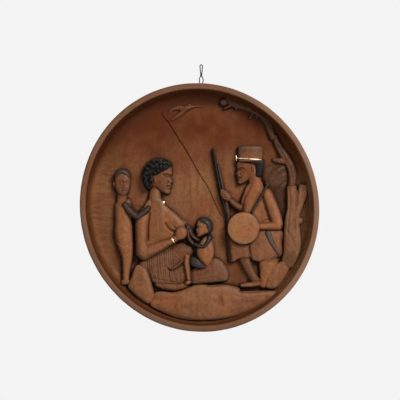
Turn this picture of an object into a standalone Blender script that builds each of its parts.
# A round wooden wall plaque, carved as a deep dish from one slab. Its floor carries a family
# scene in high relief: a standing boy, a seated mother with a baby, a man with a round shield
# and a long gun, and a tree whose bough follows the rim. Brass trims three places of the
# carving, and a twisted wire at the top hangs it.
# Units are metres. +Z is up, the front faces -Y, and the origin is the middle of the flat back.

import math

import bpy
from mathutils import Vector
from mathutils.bvhtree import BVHTree

# The slab. It has shrunk across the grain, so it is a little oval, and the grain leans.
DISC_LENGTH = 0.500
DISC_WIDTH = 0.478
GRAIN_LEAN = math.radians(16.0)
DISC_DEPTH = 0.060
FLOOR_THICKNESS = 0.020
FLOOR_DISHING = 0.002

# The rim and the wall inside it.
RIM_WIDTH = 0.0115
RIM_ROUNDING = 0.0030
WALL_LEAN = 0.010
WALL_FILLET = 0.012
SIDE_TAPER = 0.010
BACK_CHAMFER = 0.006
DISC_FACETS = 68

# The corners of the section are eased by these shares, and the side leans out up to a shoulder
# this far behind the rim. The floor is flat over this share of its width.
CORNER_EASE = 0.3
LIP_EASE = 0.5
SHOULDER_DROP = 4 * RIM_ROUNDING
FLAT_FLOOR_SHARE = 0.6

# The carving fills this share of the hollow's depth at its highest.
RELIEF_FILL = 0.85
RELIEF_DEPTH = RELIEF_FILL * (DISC_DEPTH - FLOOR_THICKNESS)
ROOT_DEPTH = 0.008
ROOT_STEP = 0.00002

# The drying crack that runs with the grain across the upper floor, and its width along it.
CRACK_LENGTH = 0.250
CRACK_WIDTH = 0.0024
CRACK_DEPTH = 0.007
CRACK_LEAN = math.radians(30.0)
CRACK_START = (-40.0, 98.0)
CRACK_CUT_FROM = 0.5
CRACK_WIDTHS = ((0.0, 0.15), (0.08, 1.0), (0.45, 0.62), (1.0, 0.12))

# The metal trims, each set off the wood by a small gap.
TRIM_GAP = 0.0003
CAP_BAND_WIDTH = 0.0028
CAP_BAND_THICKNESS = 0.0012
BRACELET_WIDTH = 0.0026
BRACELET_THICKNESS = 0.0012
BEAD_RADIUS = 0.0030
BEAD_DOME_ANGLES = (0.0, 25.0, 50.0, 75.0)

# Each strip starts and ends this many degrees up the arch.
CAP_BAND_SWEEP = 2.0
BRACELET_SWEEP = 28.0

# The hanging wire and the two holes that it is pushed into. The twist starts at its foot.
WIRE_DIAMETER = 0.0016
WIRE_CLEARANCE = 0.0003
WIRE_SET_IN = 0.014
WIRE_SPREAD = 0.0070
WIRE_RISE = 0.048
WIRE_TWIST_FOOT = 0.024
WIRE_TWIST_HEIGHT = 0.007
WIRE_TWIST_LOOSENESS = 1.44
WIRE_TWIST_STEPS = 10
WIRE_EYE_STEPS = 6
WIRE_TWIST_TURNS = 1.5
WIRE_EYE_WIDTH = 0.0050
WIRE_FROM_BACK = 0.016
WIRE_OFFSET = 0.0035
WIRE_FACETS = 6

# The carving is laid out on squares: this many fill the disc's width and its length.
# A place is (squares right of the middle, squares above it). Widths are in squares too, and
# heights are shares of RELIEF_DEPTH.
SQUARES_WIDE = 239.0
SQUARES_LONG = 250.0
SQUARE_X = DISC_WIDTH / SQUARES_WIDE
SQUARE_Z = DISC_LENGTH / SQUARES_LONG

# The man's cap is a straight drum, which the brass band clasps at its foot.
CAP_HALF_WIDTH = 12.7
CAP_CREST = 0.74
CAP_EDGE = 0.45
CAP_FOOT = (51.2, 46.4, CAP_HALF_WIDTH, CAP_CREST)
CAP_TOP = (51.2, 61.0, CAP_HALF_WIDTH, CAP_CREST)
CAP_BAND_ROW = 48.6

# The bracelet clasps the mother's forearm at the wrist, where two like stations keep its girth.
WRIST_LOW = (-28.4, -33.8)
WRIST_HIGH = (-24.8, -31.6)
WRIST_HALF_WIDTH = 3.7
WRIST_CREST = 0.96

# The stud at the mother's throat, and the man's round shield.
BEAD_PLACE = (-36.2, 5.2)
SHIELD_MIDDLE = (44.0, -21.0)
SHIELD_RADIUS = 16.7

# How finely the forms are faceted. A limb with many stations needs no more between them.
ARCH_POINTS = 5
SPAN_STEPS = 2
MANY_STATIONS = 4
BAND_STEPS = 10
BEAD_FACETS = 12
HOLE_FACETS = 10
CAP_ANGLES = (52.0,)
CAP_EDGE_DROP = 0.4
CROWN_ANGLES = (28.0, 56.0)
CROWN_FLAT = 0.18

COLOURS = {
    "wood": (0.30, 0.15, 0.075),
    "brass": (0.78, 0.60, 0.30),
    "steel": (0.32, 0.32, 0.33),
}

# The outline of a head in profile, facing +X, in shares of its height from chin to crown.
PROFILE = (
    (0.00, 0.50), (0.18, 0.47), (0.32, 0.36), (0.38, 0.20), (0.39, 0.10), (0.36, 0.04),
    (0.41, -0.05), (0.47, -0.13), (0.40, -0.17), (0.43, -0.23), (0.39, -0.255), (0.42, -0.29),
    (0.37, -0.34), (0.39, -0.42), (0.31, -0.49), (0.12, -0.43), (-0.04, -0.34), (-0.24, -0.28),
    (-0.40, -0.10), (-0.44, 0.12), (-0.36, 0.33), (-0.18, 0.46),
)


def clear_scene():
    for thing in list(bpy.data.objects):
        bpy.data.objects.remove(thing, do_unlink=True)


def material(name, metallic, roughness):
    made = bpy.data.materials.new(name)
    made.use_nodes = True
    shader = made.node_tree.nodes["Principled BSDF"]
    shader.inputs["Base Color"].default_value = (*COLOURS[name], 1.0)
    shader.inputs["Metallic"].default_value = metallic
    shader.inputs["Roughness"].default_value = roughness
    return made


def mesh_object(name, points, faces, finish=None):
    mesh = bpy.data.meshes.new(name)
    mesh.from_pydata([tuple(p) for p in points], [], faces)
    mesh.validate()
    thing = bpy.data.objects.new(name, mesh)
    bpy.context.scene.collection.objects.link(thing)
    if finish is not None:
        mesh.materials.append(finish)
    return thing


def skin(rings):
    """The points and faces of a closed body through rings of equal counts, both ends filled."""
    count = len(rings[0])
    points = [p for ring in rings for p in ring]
    faces = []
    for k in range(len(rings) - 1):
        for i in range(count):
            j = (i + 1) % count
            faces.append((k * count + i, k * count + j, (k + 1) * count + j, (k + 1) * count + i))
    faces.append(tuple(reversed(range(count))))
    faces.append(tuple(range((len(rings) - 1) * count, len(rings) * count)))
    return points, faces


def face_out(thing):
    """Turns the faces outwards if the body's volume comes out negative."""
    mesh = thing.data
    mesh.calc_loop_triangles()
    volume = 0.0
    for tri in mesh.loop_triangles:
        a, b, c = (mesh.vertices[i].co for i in tri.vertices)
        volume += a.dot(b.cross(c))
    if volume < 0:
        mesh.flip_normals()
    return thing


def spot(x, z):
    """The world X and Z of a place on the squares."""
    return x * SQUARE_X, z * SQUARE_Z


def height_y(share):
    """The world Y of a height above the floor."""
    return -(FLOOR_THICKNESS + share * RELIEF_DEPTH)


def smooth_path(stations, steps):
    """A Catmull-Rom curve through stations, which are tuples of numbers."""
    n = len(stations)
    found = []
    for k in range(n - 1):
        four = [stations[min(max(k + d, 0), n - 1)] for d in (-1, 0, 1, 2)]
        for s in range(steps):
            t = s / steps
            found.append(
                tuple(
                    0.5
                    * (
                        2 * b
                        + (c - a) * t
                        + (2 * a - 5 * b + 4 * c - d) * t * t
                        + (3 * b - a - 3 * c + d) * t ** 3
                    )
                    for a, b, c, d in zip(*four)
                )
            )
    found.append(tuple(stations[-1]))
    return found


forms = []


def root_y():
    """How deep a form's foot is let into the slab. No two feet share a plane."""
    return -(FLOOR_THICKNESS - ROOT_DEPTH - ROOT_STEP * len(forms))


def keep_form(name, rings):
    points, faces = skin(rings)
    forms.append(face_out(mesh_object(name, points, faces)))
    return forms[-1]


def arch(centre, across, half_width, low, high, foot):
    """One section of a limb: an elliptical arch that stands on straight sides."""
    ring = []
    for k in range(ARCH_POINTS):
        t = math.pi * k / (ARCH_POINTS - 1)
        x, z = (c + a * half_width * math.cos(t) for c, a in zip(centre, across))
        ring.append((*spot(x, z), height_y(low + (high - low) * math.sin(t))))
    for side in (-1, 1):
        x, z = (c + a * half_width * side for c, a in zip(centre, across))
        ring.append((*spot(x, z), foot))
    return [(x, y, z) for x, z, y in ring]


def limb(name, stations, edge=0.5, round_ends=(True, True)):
    """A limb, branch or strap. Each station is (x, z, half width, crest height)."""
    path = smooth_path(stations, steps=1 if len(stations) >= MANY_STATIONS else SPAN_STEPS)
    foot = root_y()
    rings = []
    for k, (x, z, half_width, crest) in enumerate(path):
        ahead, behind = path[min(k + 1, len(path) - 1)], path[max(k - 1, 0)]
        run = Vector((ahead[0] - behind[0], ahead[1] - behind[1])).normalized()
        across = (run.y, -run.x)
        low = edge * crest
        whole = (Vector((x, z)), across, half_width, low, crest, foot)
        first, last = k == 0, k == len(path) - 1
        rounding = []
        if (first and round_ends[0]) or (last and round_ends[1]):
            way = -run if first else run
            for angle in CAP_ANGLES:
                a = math.radians(angle)
                rounding.append(
                    arch(
                        Vector((x, z)) + way * half_width * math.sin(a),
                        across,
                        half_width * math.cos(a),
                        low * (1 - CAP_EDGE_DROP * (1 - math.cos(a))),
                        low + (crest - low) * math.cos(a),
                        foot,
                    )
                )
        if first:
            rings += rounding[::-1]
        rings.append(arch(*whole))
        if last:
            rings += rounding
    return keep_form(name, rings)


def pillow(name, outline, middle, edge, crest):
    """A crowned form over a closed outline. It rises from edge at its sides to crest."""

    def ring(shrink, y):
        made = []
        for place in outline:
            x, z = spot(*(m + (p - m) * shrink for p, m in zip(place, middle)))
            made.append((x, y, z))
        return made

    rings = [ring(1.0, root_y()), ring(1.0, height_y(edge))]
    for angle in CROWN_ANGLES:
        a = math.radians(angle)
        rings.append(ring(math.cos(a), height_y(edge + (crest - edge) * math.sin(a))))
    rings.append(ring(CROWN_FLAT, height_y(crest)))
    return keep_form(name, rings)


def ellipse(middle, half_wide, half_high, count=12):
    """An oval outline on the squares."""
    return [
        (middle[0] + half_wide * math.cos(2 * math.pi * k / count),
         middle[1] + half_high * math.sin(2 * math.pi * k / count))
        for k in range(count)
    ]


def head(name, middle, tall, facing, edge, crest):
    """A head in profile. facing is 1 to the right and -1 to the left."""
    outline = [(middle[0] + facing * x * tall, middle[1] + z * tall) for x, z in PROFILE]
    return pillow(name, outline, middle, edge, crest)


def disc_ring(inset, y):
    """A loop round the disc, that far in from its edge. The long axis leans with the grain."""
    long_half, wide_half = DISC_LENGTH / 2 - inset, DISC_WIDTH / 2 - inset
    c, s = math.cos(GRAIN_LEAN), math.sin(GRAIN_LEAN)
    ring = []
    for k in range(DISC_FACETS):
        t = 2 * math.pi * k / DISC_FACETS
        across, along = wide_half * math.cos(t), long_half * math.sin(t)
        ring.append((across * c - along * s, y, across * s + along * c))
    return ring


def make_disc(finish):
    """The turned slab: flat back, tapered side, narrow rim, leaning wall and dished floor."""
    wall_top = RIM_WIDTH
    wall_foot = wall_top + WALL_LEAN
    floor_edge = FLOOR_THICKNESS + FLOOR_DISHING
    fillet_top = floor_edge + WALL_FILLET
    profile = [
        (SIDE_TAPER + BACK_CHAMFER, 0.0),
        (SIDE_TAPER, BACK_CHAMFER),
        (0.0, DISC_DEPTH - SHOULDER_DROP),
        (CORNER_EASE * RIM_ROUNDING, DISC_DEPTH - RIM_ROUNDING),
        (RIM_ROUNDING, DISC_DEPTH),
        (wall_top - LIP_EASE * RIM_ROUNDING, DISC_DEPTH),
        (wall_top, DISC_DEPTH - LIP_EASE * RIM_ROUNDING),
        (wall_foot, fillet_top),
        (wall_foot + CORNER_EASE * WALL_FILLET, floor_edge + CORNER_EASE * WALL_FILLET),
        (wall_foot + WALL_FILLET, floor_edge),
        (FLAT_FLOOR_SHARE * DISC_WIDTH / 2, FLOOR_THICKNESS),
    ]
    points, faces = skin([disc_ring(inset, -depth) for inset, depth in profile])
    return face_out(mesh_object("plaque", points, faces, finish))


def carve_boy():
    """The standing boy on the left, with his hand on his mother's back."""
    limb("boy_body", [
        (-78.0, 9.0, 4.0, 0.42), (-77.6, 4.0, 7.4, 0.50), (-76.8, -4.0, 8.2, 0.56),
        (-75.6, -14.0, 9.0, 0.56), (-75.0, -25.0, 9.3, 0.58), (-75.6, -33.0, 8.6, 0.58),
        (-74.4, -41.0, 6.0, 0.54), (-74.4, -51.0, 4.6, 0.50), (-75.6, -61.0, 3.7, 0.46),
        (-75.6, -69.0, 3.1, 0.42), (-75.0, -74.5, 3.6, 0.44),
    ])
    pillow("boy_foot", ellipse((-74.8, -76.4), 4.4, 2.2), (-74.8, -76.4), 0.30, 0.50)
    pillow("boy_head", [
        (-78.2, 36.2), (-73.0, 34.6), (-70.9, 29.0), (-70.7, 22.0), (-72.0, 15.8),
        (-75.6, 11.2), (-80.0, 11.6), (-83.8, 16.4), (-85.2, 23.0), (-84.6, 30.4),
        (-82.4, 34.8),
    ], (-78.0, 23.5), 0.34, 0.66)
    pillow("boy_ear", ellipse((-86.0, 23.6), 1.5, 3.0, count=8), (-86.0, 23.6), 0.24, 0.40)
    limb("boy_upper_arm", [
        (-75.2, 1.0, 3.4, 0.64), (-69.0, -6.0, 3.5, 0.76), (-61.6, -10.4, 3.2, 0.86),
    ])
    limb("boy_forearm", [
        (-61.8, -10.4, 3.2, 0.87), (-55.6, -5.6, 2.9, 0.90), (-50.8, -0.6, 2.3, 0.86),
    ])


def carve_mother():
    """The seated mother, seen from behind her shoulder, facing right."""
    pillow("mother_torso", [
        (-52.5, 6.5), (-46.0, 9.0), (-39.0, 9.5), (-34.5, 3.0), (-28.0, -5.0), (-20.0, -12.0),
        (-14.0, -17.0), (-13.5, -25.0), (-20.0, -32.0), (-30.0, -38.0), (-42.0, -44.0),
        (-54.0, -50.0), (-61.0, -45.0), (-63.0, -32.0), (-62.0, -18.0), (-58.5, -5.0),
    ], (-41.0, -18.0), 0.38, 0.64)
    limb("mother_chest", [
        (-39.0, -4.0, 6.0, 0.62), (-29.0, -12.0, 7.4, 0.70), (-20.0, -21.0, 7.0, 0.74),
    ])
    limb("mother_neck", [(-45.6, 15.0, 6.2, 0.56), (-45.2, 6.5, 7.0, 0.60)])
    limb("mother_upper_arm", [
        (-54.6, -5.0, 5.4, 0.62), (-57.0, -11.0, 6.5, 0.78), (-58.4, -18.0, 6.7, 0.86),
        (-59.2, -32.0, 6.4, 0.90), (-58.0, -46.0, 6.8, 0.90),
    ])
    limb("mother_forearm", [
        (-56.0, -47.0, 7.0, 0.90), (-47.0, -42.6, 7.0, 0.93), (-39.0, -39.6, 6.1, 0.95),
        (-33.0, -36.4, 4.7, 0.96), (*WRIST_LOW, WRIST_HALF_WIDTH, WRIST_CREST),
        (*WRIST_HIGH, WRIST_HALF_WIDTH, WRIST_CREST),
    ])
    pillow("mother_hand", [
        (-25.4, -29.0), (-21.0, -21.4), (-16.0, -20.8), (-12.6, -25.6), (-14.4, -30.4),
        (-19.0, -32.4), (-24.0, -33.4),
    ], (-19.0, -27.0), 0.62, 0.94)
    head("mother_head", (-41.6, 31.0), 36.0, 1, 0.34, 0.64)
    pillow("mother_hair", [
        (-51.6, 18.4), (-55.8, 25.0), (-57.2, 33.0), (-55.4, 41.0), (-49.6, 47.4),
        (-42.0, 50.0), (-34.0, 48.8), (-28.6, 44.4), (-29.4, 40.6), (-36.0, 36.0),
        (-42.4, 32.4), (-46.4, 29.6), (-47.4, 23.0),
    ], (-46.0, 37.0), 0.46, 0.80)
    pillow("mother_ear", ellipse((-44.6, 26.6), 1.9, 3.9, count=8), (-44.6, 26.6), 0.52, 0.72)


def carve_skirt():
    """The mother's wrapper over both bent legs, with her foot under it."""
    limb("skirt_thigh", [
        (-54.0, -60.0, 8.0, 0.62), (-42.0, -56.0, 11.0, 0.72), (-28.0, -50.0, 12.0, 0.78),
        (-17.0, -45.0, 9.6, 0.82), (-12.0, -44.0, 6.0, 0.80),
    ], edge=0.42)
    pillow("skirt_fall", [
        (-52.0, -58.0), (-30.0, -52.0), (-14.0, -50.0), (-10.0, -60.0), (-12.5, -74.0),
        (-20.0, -80.0), (-34.0, -79.5), (-46.0, -77.5), (-51.0, -72.0),
    ], (-31.0, -66.0), 0.40, 0.68)
    limb("skirt_hem", [
        (-32.4, -60.8, 1.5, 0.74), (-27.0, -63.4, 1.9, 0.78), (-21.0, -60.0, 1.9, 0.80),
        (-15.6, -55.8, 1.5, 0.80),
    ])
    limb("mother_foot", [
        (-42.0, -76.4, 3.4, 0.56), (-34.0, -79.0, 4.0, 0.62), (-24.0, -80.4, 4.0, 0.64),
        (-14.0, -78.6, 3.2, 0.58),
    ])
    pillow("skirt_far_knee", [
        (-8.0, -62.0), (2.0, -56.0), (9.0, -53.0), (15.0, -51.0), (21.4, -54.0),
        (26.6, -60.0), (28.8, -67.0), (27.4, -74.0), (18.0, -75.6), (6.0, -76.4),
        (-6.0, -77.0), (-12.0, -72.0),
    ], (11.0, -66.0), 0.38, 0.70)


def carve_baby():
    """The nursing baby, facing left on the far knee."""
    pillow("baby_torso", [
        (6.0, -29.5), (11.6, -31.5), (14.0, -39.0), (14.2, -47.0), (12.0, -54.0),
        (7.4, -59.5), (1.6, -56.0), (-2.6, -50.0), (-4.2, -44.0), (-2.0, -38.0),
    ], (5.6, -45.0), 0.50, 0.84)
    head("baby_head", (4.4, -19.8), 18.6, -1, 0.44, 0.80)
    pillow("baby_hair", [
        (-2.6, -13.4), (-0.6, -11.0), (3.8, -10.2), (8.6, -11.6), (12.2, -16.0),
        (12.2, -21.6), (9.0, -25.4), (6.6, -22.0), (4.4, -16.4), (0.6, -14.6),
    ], (6.8, -16.6), 0.52, 0.86)
    limb("baby_upper_arm", [
        (10.0, -30.4, 3.1, 0.86), (7.2, -35.6, 3.2, 0.92), (2.6, -39.8, 2.8, 0.92),
    ])
    limb("baby_forearm", [
        (2.2, -39.8, 2.7, 0.90), (-4.0, -37.8, 2.8, 0.90), (-9.6, -33.0, 2.3, 0.90),
        (-10.8, -27.6, 2.0, 0.88),
    ])
    limb("baby_far_hand", [
        (-3.6, -30.0, 2.0, 0.74), (-8.6, -24.4, 2.3, 0.80), (-13.0, -20.0, 1.7, 0.78),
    ])
    limb("baby_thigh", [
        (5.4, -56.4, 4.4, 0.84), (-2.0, -55.4, 5.1, 0.90), (-9.0, -51.0, 4.6, 0.92),
        (-13.4, -49.0, 4.2, 0.92),
    ])
    limb("baby_shin", [
        (-14.0, -49.0, 4.0, 0.92), (-13.6, -57.0, 3.5, 0.92), (-12.6, -65.0, 3.0, 0.88),
        (-11.6, -72.6, 2.1, 0.82),
    ])
    pillow("baby_foot", ellipse((-11.8, -76.4), 3.8, 2.3, count=10), (-11.8, -76.4), 0.50, 0.78)


def carve_man():
    """The man on the right, in profile to the left, leaning on his gun."""
    pillow("man_pack", [
        (64.0, 36.0), (74.0, 41.0), (84.0, 40.0), (87.0, 30.0), (86.0, 12.0), (82.0, -8.0),
        (72.0, -10.0), (64.0, 10.0),
    ], (75.0, 20.0), 0.14, 0.30)
    pillow("man_torso", [
        (48.6, 22.6), (56.0, 28.0), (64.0, 23.4), (70.0, 16.0), (74.0, 2.0), (77.0, -14.0),
        (78.0, -27.0), (62.0, -31.0), (45.0, -32.0), (37.6, -25.0), (38.0, -14.0),
        (41.0, -3.0), (42.0, 7.0), (45.0, 15.0),
    ], (58.0, -6.0), 0.32, 0.58)
    limb("man_neck", [(55.0, 30.0, 6.0, 0.48), (57.0, 20.0, 7.0, 0.56)])
    limb("man_far_upper_arm", [
        (56.6, 18.0, 6.8, 0.66), (51.4, 8.0, 6.4, 0.70), (47.0, -4.0, 5.6, 0.70),
    ])
    limb("man_far_forearm", [
        (45.0, -3.6, 3.8, 0.52), (37.0, 2.0, 3.3, 0.50), (29.6, 9.4, 2.7, 0.50),
    ])
    limb("man_strap", [
        (68.0, 22.6, 1.2, 0.70), (60.0, 9.0, 1.2, 0.78), (51.6, -5.0, 1.2, 0.80),
    ], edge=0.86)
    limb("man_near_upper_arm", [
        (66.4, 15.6, 6.0, 0.76), (70.0, 6.0, 6.4, 0.84), (75.0, -6.0, 6.2, 0.86),
        (78.6, -16.6, 5.8, 0.86),
    ])
    limb("man_near_forearm", [
        (79.2, -19.0, 4.9, 0.86), (72.0, -19.4, 4.5, 0.86), (62.0, -19.6, 3.9, 0.84),
        (54.0, -19.6, 3.6, 0.80),
    ])
    head("man_head", (49.6, 36.2), 29.6, -1, 0.30, 0.58)
    pillow("man_hair", [
        (52.4, 47.0), (64.0, 47.4), (64.6, 39.0), (62.8, 32.0), (59.4, 27.0), (55.6, 30.0),
        (54.4, 38.0),
    ], (59.0, 38.6), 0.40, 0.66)
    pillow("man_ear", ellipse((53.4, 36.8), 1.7, 3.6, count=8), (53.4, 36.8), 0.48, 0.66)
    limb("man_cap", [CAP_FOOT, CAP_TOP], edge=CAP_EDGE, round_ends=(False, False))


def carve_dress_and_arms():
    """The man's kilt, legs, shield, gun and blade."""
    pillow("kilt_front", [
        (31.0, -30.0), (48.0, -32.0), (50.0, -42.0), (50.6, -50.6), (40.0, -51.8),
        (33.0, -55.2), (31.2, -48.0), (30.4, -39.0),
    ], (40.6, -42.0), 0.38, 0.62)
    pillow("kilt_side", [
        (48.6, -32.0), (60.0, -22.0), (82.6, -23.0), (83.4, -36.0), (83.8, -49.0),
        (76.0, -51.8), (66.0, -54.2), (57.6, -54.4), (51.8, -51.6), (49.4, -43.0),
    ], (67.0, -39.0), 0.40, 0.68)
    limb("blade", [
        (68.6, -24.4, 2.6, 0.80), (73.0, -36.0, 2.4, 0.80), (79.4, -47.6, 1.0, 0.76),
    ], edge=0.80)
    limb("man_front_leg", [
        (45.2, -51.0, 5.4, 0.46), (48.6, -59.0, 4.6, 0.48), (52.6, -67.0, 3.9, 0.46),
        (56.6, -74.0, 3.6, 0.46),
    ])
    limb("man_front_foot", [
        (58.6, -77.6, 3.0, 0.50), (51.0, -78.6, 2.8, 0.52), (43.4, -79.4, 2.0, 0.48),
    ])
    limb("man_back_leg", [
        (69.0, -53.0, 9.0, 0.44), (67.4, -62.0, 7.0, 0.42), (64.6, -71.0, 4.6, 0.40),
        (63.4, -78.0, 3.4, 0.40),
    ])
    pillow("shield", ellipse(SHIELD_MIDDLE, SHIELD_RADIUS, SHIELD_RADIUS, count=28),
           SHIELD_MIDDLE, 0.86, 0.97)
    limb("gun_barrel", [
        (13.4, 58.6, 1.2, 0.30), (15.6, 48.0, 1.4, 0.32), (17.6, 40.0, 2.2, 0.34),
    ])
    limb("gun_stock", [
        (17.6, 41.0, 2.3, 0.36), (22.4, 19.0, 2.6, 0.40), (28.6, -6.0, 3.0, 0.40),
        (29.4, -30.0, 2.5, 0.34), (31.4, -54.0, 2.7, 0.32),
    ])
    pillow("man_hand", [
        (21.4, 18.2), (26.0, 17.6), (31.6, 12.6), (32.6, 8.0), (28.6, 6.4), (23.6, 8.6),
        (20.8, 13.0),
    ], (26.4, 12.4), 0.42, 0.60)


def carve_tree():
    """The lopped tree on the right, its bough along the rim, and the beast on the bough."""
    limb("trunk", [
        (92.8, 21.4, 4.7, 0.50), (94.2, 9.0, 5.8, 0.56), (95.0, -2.0, 6.8, 0.60),
        (93.4, -12.0, 7.4, 0.62), (93.2, -24.0, 8.3, 0.62), (93.6, -35.0, 9.0, 0.62),
        (92.4, -46.0, 8.0, 0.60), (89.0, -56.0, 6.6, 0.54),
    ], round_ends=(False, True))
    limb("stump", [
        (98.0, -4.0, 4.4, 0.52), (101.8, 7.0, 4.8, 0.54), (105.0, 15.0, 5.0, 0.54),
        (106.6, 21.0, 4.9, 0.54),
    ], round_ends=(True, False))
    pillow("trunk_knot", ellipse((101.4, -15.4), 2.7, 3.2, count=8), (101.4, -15.4), 0.40, 0.58)
    limb("bough_low", [
        (92.4, 19.0, 3.9, 0.44), (94.2, 30.0, 4.3, 0.42), (92.8, 40.0, 4.4, 0.40),
        (88.2, 49.0, 4.4, 0.40), (82.6, 57.4, 3.9, 0.38), (78.2, 65.6, 3.5, 0.36),
        (76.4, 71.6, 3.0, 0.34),
    ])
    limb("bough_high", [
        (74.0, 71.0, 3.3, 0.38), (71.6, 79.0, 4.0, 0.36), (68.4, 86.4, 3.7, 0.34),
        (62.0, 93.0, 2.8, 0.32), (54.6, 97.0, 2.3, 0.30), (46.0, 100.0, 2.1, 0.28),
        (36.0, 104.6, 1.8, 0.26),
    ])
    limb("spur", [(86.0, 48.2, 2.2, 0.36), (77.4, 47.6, 0.8, 0.24)])
    limb("twig_left", [(55.0, 97.0, 1.4, 0.26), (50.6, 90.0, 0.8, 0.18)])
    limb("twig_right", [(57.4, 96.0, 1.4, 0.26), (58.6, 88.4, 0.8, 0.18)])
    limb("beast_body", [
        (43.0, 101.4, 2.6, 0.36), (37.0, 104.4, 4.2, 0.44), (31.0, 106.4, 4.3, 0.44),
        (27.4, 107.6, 3.4, 0.42),
    ])
    pillow("beast_head", ellipse((25.6, 106.2), 3.9, 3.6, count=10), (25.6, 106.2), 0.28, 0.48)
    limb("beast_leg", [(31.0, 102.8, 1.8, 0.40), (25.4, 100.0, 1.3, 0.32)])


def carve_bird():
    """The long-billed bird flying to the right at the top."""
    limb("bird_body", [
        (-19.0, 98.4, 1.5, 0.20), (-14.0, 100.4, 2.6, 0.28), (-9.0, 102.0, 2.1, 0.26),
        (-3.0, 102.4, 1.2, 0.20), (4.6, 101.6, 0.7, 0.14),
    ])
    limb("bird_far_wing", [
        (-14.0, 100.6, 2.2, 0.22), (-21.0, 100.8, 2.3, 0.22), (-27.0, 99.4, 1.9, 0.20),
        (-31.4, 95.6, 0.9, 0.14),
    ])
    limb("bird_near_wing", [
        (-13.0, 100.6, 2.0, 0.27), (-20.0, 94.4, 2.3, 0.24), (-25.0, 91.0, 1.7, 0.20),
        (-28.4, 88.2, 0.8, 0.14),
    ])


def carve_ground():
    """The rounded bank along the bottom, the boulder on the left and the root on the right."""
    pillow("bank", [
        (-45.0, -86.0), (-38.0, -84.6), (-28.0, -85.6), (-18.0, -83.6), (-6.0, -78.6),
        (4.0, -77.0), (22.0, -76.0), (38.0, -79.6), (44.0, -83.4), (62.0, -83.2),
        (75.0, -83.8), (82.6, -85.4), (76.0, -91.4), (62.0, -99.4), (45.0, -107.0),
        (25.0, -112.4), (1.0, -114.2), (-20.0, -112.2), (-39.0, -105.0), (-49.6, -98.6),
        (-46.6, -92.0),
    ], (14.0, -96.0), 0.46, 0.74)
    pillow("boulder", [
        (-73.0, -79.6), (-70.6, -69.0), (-67.0, -59.6), (-62.0, -57.8), (-57.0, -58.8),
        (-53.0, -62.6), (-49.6, -72.0), (-46.6, -83.0), (-45.2, -90.0), (-50.6, -97.4),
        (-60.0, -92.6), (-68.0, -85.6),
    ], (-59.0, -77.0), 0.40, 0.68)
    pillow("root", [
        (81.0, -55.0), (90.4, -51.6), (92.0, -57.0), (88.4, -67.0), (82.4, -76.0),
        (76.0, -82.0), (67.0, -80.4), (68.0, -71.0), (73.0, -61.0),
    ], (79.6, -67.0), 0.32, 0.52)


def band(name, low_place, high_place, half_width, low, high, sides, sweep, finish):
    """A flat metal strip bent over a limb's arch, between two angles of it."""
    width, thickness = sides
    middle = (Vector(low_place) + Vector(high_place)) / 2
    run = (Vector(high_place) - Vector(low_place)).normalized()
    across = Vector((run.y, -run.x))
    rings = []
    for k in range(BAND_STEPS + 1):
        t = math.radians(sweep + (180 - 2 * sweep) * k / BAND_STEPS)
        x, z = spot(*(middle + across * half_width * math.cos(t)))
        y = height_y(low + (high - low) * math.sin(t))
        ring = []
        for lift, side in ((0, -1), (0, 1), (1, 1), (1, -1)):
            off = TRIM_GAP + lift * thickness
            shift = across * off * math.cos(t) + run * side * width / 2
            ring.append((x + shift.x, y - off * math.sin(t), z + shift.y))
        rings.append(ring)
    points, faces = skin(rings)
    return face_out(mesh_object(name, points, faces, finish))


def make_trims(finish, wood):
    """The brass strips on the cap and the wrist, and the stud at the throat."""
    row = (CAP_FOOT[0], CAP_BAND_ROW)
    band("cap_band", row, (row[0], row[1] + 1), CAP_HALF_WIDTH, CAP_EDGE * CAP_CREST, CAP_CREST,
         (CAP_BAND_WIDTH, CAP_BAND_THICKNESS), CAP_BAND_SWEEP, finish)
    band("bracelet", WRIST_LOW, WRIST_HIGH, WRIST_HALF_WIDTH, 0.5 * WRIST_CREST, WRIST_CREST,
         (BRACELET_WIDTH, BRACELET_THICKNESS), BRACELET_SWEEP, finish)
    make_bead(finish, wood)


def make_bead(finish, wood):
    """A domed stud at the mother's throat, resting on the highest wood under it."""
    tree = BVHTree.FromObject(wood, bpy.context.evaluated_depsgraph_get())
    middle_x, middle_z = spot(*BEAD_PLACE)
    tops = []
    for ring in (0.0, 0.5, 1.0):
        for k in range(8):
            t = math.pi * k / 4
            x = middle_x + ring * BEAD_RADIUS * math.cos(t)
            z = middle_z + ring * BEAD_RADIUS * math.sin(t)
            hit = tree.ray_cast(Vector((x, -1.0, z)), Vector((0, 1, 0)))[0]
            tops.append(hit.y)
    back = min(tops) - TRIM_GAP
    rings = []
    for angle in BEAD_DOME_ANGLES:
        a = math.radians(angle)
        radius = BEAD_RADIUS * math.cos(a)
        rings.append([
            (middle_x + radius * math.cos(2 * math.pi * k / BEAD_FACETS),
             back - BEAD_RADIUS * math.sin(a),
             middle_z + radius * math.sin(2 * math.pi * k / BEAD_FACETS))
            for k in range(BEAD_FACETS)
        ])
    points, faces = skin(rings)
    face_out(mesh_object("neck_bead", points, faces, finish))


def disc_top():
    """The highest point of the side where the wire goes in, and its height."""
    depth_share = (WIRE_FROM_BACK - BACK_CHAMFER) / (DISC_DEPTH - SHOULDER_DROP - BACK_CHAMFER)
    inset = SIDE_TAPER * (1 - depth_share)
    return max(p[2] for p in disc_ring(inset, 0.0))


def cutter(name, points, faces):
    made = face_out(mesh_object(name, points, faces))
    made.hide_render = True
    made.display_type = "WIRE"
    return made


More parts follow.
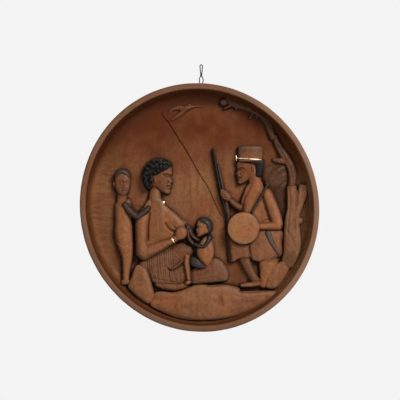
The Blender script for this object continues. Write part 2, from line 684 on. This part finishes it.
def wire_hole(name, x, top):
    radius = WIRE_DIAMETER / 2 + WIRE_CLEARANCE
    rings = []
    for z in (top - WIRE_SET_IN - WIRE_CLEARANCE, top + WIRE_SET_IN):
        rings.append([
            (x + radius * math.cos(2 * math.pi * k / HOLE_FACETS),
             -WIRE_FROM_BACK + radius * math.sin(2 * math.pi * k / HOLE_FACETS), z)
            for k in range(HOLE_FACETS)
        ])
    return cutter(name, *skin(rings))


def crack_cutter():
    """A long thin wedge, widest near its upper end. Its front is well clear of the floor."""
    top = Vector(spot(*CRACK_START))
    way = Vector((math.sin(CRACK_LEAN), -math.cos(CRACK_LEAN)))
    across = Vector((way.y, -way.x))
    rings = []
    for along, share in CRACK_WIDTHS:
        middle = top + way * CRACK_LENGTH * along
        half = CRACK_WIDTH / 2 * share
        front, deep = height_y(CRACK_CUT_FROM), height_y(0.0) + CRACK_DEPTH * share
        left, right = middle + across * half, middle - across * half
        rings.append([(left.x, front, left.y), (right.x, front, right.y),
                      (middle.x, deep, middle.y)])
    return cutter("crack", *skin(rings))


def join_carving(plaque):
    """Unites the forms with the slab, then cuts the crack and the two wire holes."""
    carved = bpy.data.collections.new("carving")
    bpy.context.scene.collection.children.link(carved)
    for form in forms:
        bpy.context.scene.collection.objects.unlink(form)
        carved.objects.link(form)
        form.hide_render = True
        form.display_type = "WIRE"
    unite = plaque.modifiers.new("carving", "BOOLEAN")
    unite.operation = "UNION"
    unite.solver = "EXACT"
    unite.operand_type = "COLLECTION"
    unite.collection = carved
    top = disc_top()
    holes = [
        wire_hole("hole_left", WIRE_OFFSET - WIRE_SPREAD / 2, top),
        wire_hole("hole_right", WIRE_OFFSET + WIRE_SPREAD / 2, top),
    ]
    for tool in [crack_cutter(), *holes]:
        cut = plaque.modifiers.new(tool.name, "BOOLEAN")
        cut.operation = "DIFFERENCE"
        cut.solver = "EXACT"
        cut.object = tool


def make_wire(finish):
    """One wire: up from a hole, twisted round itself, round the eye, and down again."""
    top = disc_top()
    twist_radius = WIRE_DIAMETER * WIRE_TWIST_LOOSENESS / 2
    twist_foot = top + WIRE_TWIST_FOOT
    twist_top = twist_foot + WIRE_TWIST_HEIGHT
    side = [(-WIRE_SPREAD / 2, 0.0, top - WIRE_SET_IN), (-WIRE_SPREAD / 2, 0.0, top + WIRE_DIAMETER)]
    for k in range(WIRE_TWIST_STEPS + 1):
        t = math.pi * (1 + 2 * WIRE_TWIST_TURNS * k / WIRE_TWIST_STEPS)
        height = twist_foot + (twist_top - twist_foot) * k / WIRE_TWIST_STEPS
        side.append((twist_radius * math.cos(t), twist_radius * math.sin(t), height))
    eye_half = math.copysign(WIRE_EYE_WIDTH / 2, side[-1][0])
    eye_middle = top + WIRE_RISE - WIRE_EYE_WIDTH / 2
    eye = [(eye_half, 0.0, (twist_top + eye_middle) / 2)]
    for k in range(WIRE_EYE_STEPS + 1):
        t = math.pi * k / WIRE_EYE_STEPS
        eye.append((eye_half * math.cos(t), 0.0, eye_middle + WIRE_EYE_WIDTH / 2 * math.sin(t)))
    eye.append((-eye_half, 0.0, eye[0][2]))
    back = [(-x, -y, z) for x, y, z in reversed(side)]
    route = [Vector(p) + Vector((WIRE_OFFSET, -WIRE_FROM_BACK, 0.0)) for p in side + eye + back]
    rings = []
    sideways = Vector((0.0, 1.0, 0.0))
    for k, point in enumerate(route):
        run = (route[min(k + 1, len(route) - 1)] - route[max(k - 1, 0)]).normalized()
        sideways = (sideways - run * sideways.dot(run)).normalized()
        other = run.cross(sideways)
        ring = []
        for i in range(WIRE_FACETS):
            t = 2 * math.pi * i / WIRE_FACETS
            ring.append(point + WIRE_DIAMETER / 2 * (sideways * math.cos(t) + other * math.sin(t)))
        rings.append(ring)
    points, faces = skin(rings)
    face_out(mesh_object("hanging_wire", points, faces, finish))


def main():
    clear_scene()
    wood = material("wood", 0.0, 0.55)
    brass = material("brass", 1.0, 0.30)
    steel = material("steel", 1.0, 0.45)
    plaque = make_disc(wood)
    for carve in (carve_ground, carve_tree, carve_bird, carve_boy, carve_mother, carve_skirt,
                  carve_baby, carve_man, carve_dress_and_arms):
        carve()
    join_carving(plaque)
    bpy.context.view_layer.update()
    make_trims(brass, plaque)
    make_wire(steel)


main()
